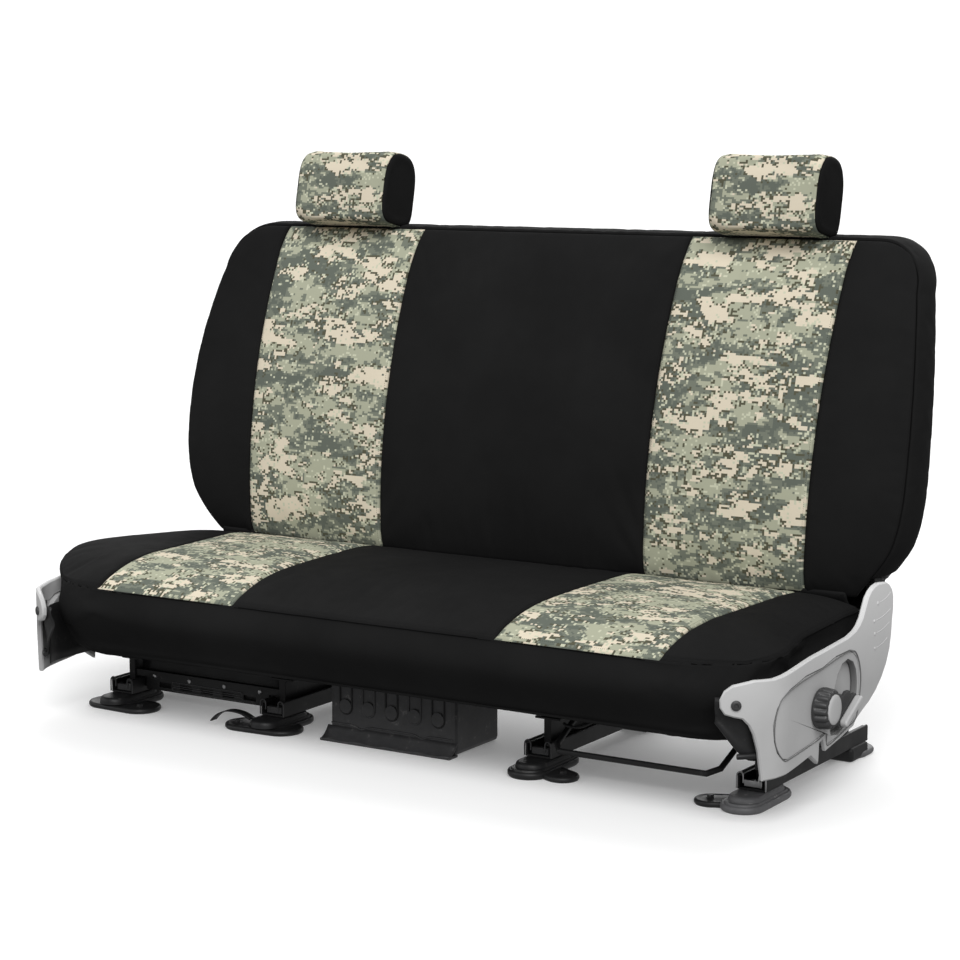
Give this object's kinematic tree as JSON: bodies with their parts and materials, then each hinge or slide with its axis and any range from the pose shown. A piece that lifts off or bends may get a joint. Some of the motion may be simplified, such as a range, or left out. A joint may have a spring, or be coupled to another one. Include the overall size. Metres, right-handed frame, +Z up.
{
  "type": "truck bench seat cover set",
  "caption": "Black and digital-camouflage fitted cover set on a full-width truck bench seat, with headrest covers, side shields and slide tracks.",
  "frame": {"origin": "on the floor, under the middle of the whole bench's bounding box", "axes": "+X along the bench to the end with the lumbar knob, the seat faces -Y, +Z up"},
  "size_m": [1.58, 0.7489, 1.0464],
  "materials": {
    "camo_fabric": "woven digital camouflage in sand, sage and grey-green, matte",
    "black_neoprene": "black knit-faced neoprene, matte with fine seams",
    "grey_plastic": "light grey moulded plastic, fine grain, satin",
    "dark_plastic": "charcoal moulded plastic, satin",
    "black_steel": "black e-coated pressed steel, semi-gloss",
    "bright_steel": "bare zinc-plated steel",
    "foam": "moulded seat foam, hidden under the covers",
    "board": "fibreboard back panel, hidden under the cover"
  },
  "bodies": {
    "floor_tracks": {"lower_rail_left_outer": "black_steel", "lower_rail_left_inner": "black_steel", "lower_rail_right_inner": "black_steel", "lower_rail_right_outer": "black_steel", "front_foot_left_outer": "black_steel", "front_foot_left_inner": "black_steel", "front_foot_right_inner": "black_steel", "front_foot_right_outer": "black_steel", "center_riser": "black_steel"},
    "seat_base": {"upper_rail_left_outer": "black_steel", "upper_rail_left_inner": "black_steel", "upper_rail_right_inner": "black_steel", "upper_rail_right_outer": "black_steel", "seat_pan": "black_steel", "cushion_foam": "foam", "seat_cover_skirt": "black_neoprene", "seat_cover_left_bolster": "black_neoprene", "seat_cover_left_insert": "camo_fabric", "seat_cover_center": "black_neoprene", "seat_cover_right_insert": "camo_fabric", "seat_cover_right_bolster": "black_neoprene", "side_shield_left": "grey_plastic", "side_shield_right": "grey_plastic", "control_bezel_left": "grey_plastic", "control_bezel_right": "grey_plastic", "shield_screw_left": "dark_plastic", "shield_screw_right": "dark_plastic", "recliner_base_left": "black_steel", "recliner_base_right": "black_steel", "track_brace_left": "black_steel"},
    "recline_lever_left": {"recline_lever_left": "dark_plastic"},
    "recline_lever_right": {"recline_lever_right": "dark_plastic"},
    "lumbar_knob": {"lumbar_knob": "dark_plastic"},
    "slide_release_bar": {"slide_release_bar": "black_steel"},
    "backrest": {"back_frame": "black_steel", "back_foam": "foam", "back_board": "board", "recliner_arm_left": "black_steel", "recliner_arm_right": "black_steel", "headrest_socket_left": "dark_plastic", "headrest_socket_right": "dark_plastic", "back_cover_left_bolster": "black_neoprene", "back_cover_left_insert": "camo_fabric", "back_cover_center": "black_neoprene", "back_cover_right_insert": "camo_fabric", "back_cover_right_bolster": "black_neoprene", "back_cover_boxing": "black_neoprene", "back_cover_rear_panel": "black_neoprene"},
    "lumbar_plate": {"lumbar_plate": "black_steel"},
    "headrest_left": {"headrest_foam_left": "foam", "headrest_post_left": "bright_steel", "headrest_wrap_left": "camo_fabric", "headrest_side_cap_left_left": "black_neoprene", "headrest_side_cap_left_right": "black_neoprene"},
    "headrest_right": {"headrest_foam_right": "foam", "headrest_post_right": "bright_steel", "headrest_wrap_right": "camo_fabric", "headrest_side_cap_right_left": "black_neoprene", "headrest_side_cap_right_right": "black_neoprene"}
  },
  "joints": [
    {"name": "seat_slide", "type": "slide", "parent": "floor_tracks", "child": "seat_base", "axis": [0, 1, 0], "range_m": [-0.08, 0.08]},
    {"name": "back_recline", "type": "hinge", "parent": "seat_base", "child": "backrest", "pos_m": [0, 0.199, 0.325], "axis": [1, 0, 0], "range_deg": [-15, 35]},
    {"name": "headrest_left_height", "type": "slide", "parent": "backrest", "child": "headrest_left", "axis": [0, 0.2079, 0.9781], "range_m": [0, 0.05]},
    {"name": "headrest_right_height", "type": "slide", "parent": "backrest", "child": "headrest_right", "axis": [0, 0.2079, 0.9781], "range_m": [0, 0.05]},
    {"name": "lumbar_knob_turn", "type": "hinge", "parent": "seat_base", "child": "lumbar_knob", "pos_m": [0.77, -0.156, 0.167], "axis": [1, 0, 0], "range_deg": [0, 270]},
    {"name": "lumbar_push", "type": "slide", "parent": "backrest", "child": "lumbar_plate", "axis": [0, -1, 0], "range_m": [0, 0.02]},
    {"name": "recline_lever_left_lift", "type": "hinge", "parent": "seat_base", "child": "recline_lever_left", "pos_m": [-0.77, -0.074, 0.152], "axis": [1, 0, 0], "range_deg": [0, 25], "stiffness_Nm_per_rad": 1, "springref_deg": -17.19},
    {"name": "recline_lever_right_lift", "type": "hinge", "parent": "seat_base", "child": "recline_lever_right", "pos_m": [0.77, -0.074, 0.152], "axis": [1, 0, 0], "range_deg": [0, 25], "stiffness_Nm_per_rad": 1, "springref_deg": -17.19},
    {"name": "release_bar_lift", "type": "hinge", "parent": "seat_base", "child": "slide_release_bar", "pos_m": [0.458, -0.116, 0.1], "axis": [-1, 0, 0], "range_deg": [0, 12], "stiffness_Nm_per_rad": 3, "springref_deg": -11.46}
  ],
  "couplings": [
    {"joint": "lumbar_knob_turn", "follows": "lumbar_push", "rad_per_m": 235.61}
  ]
}
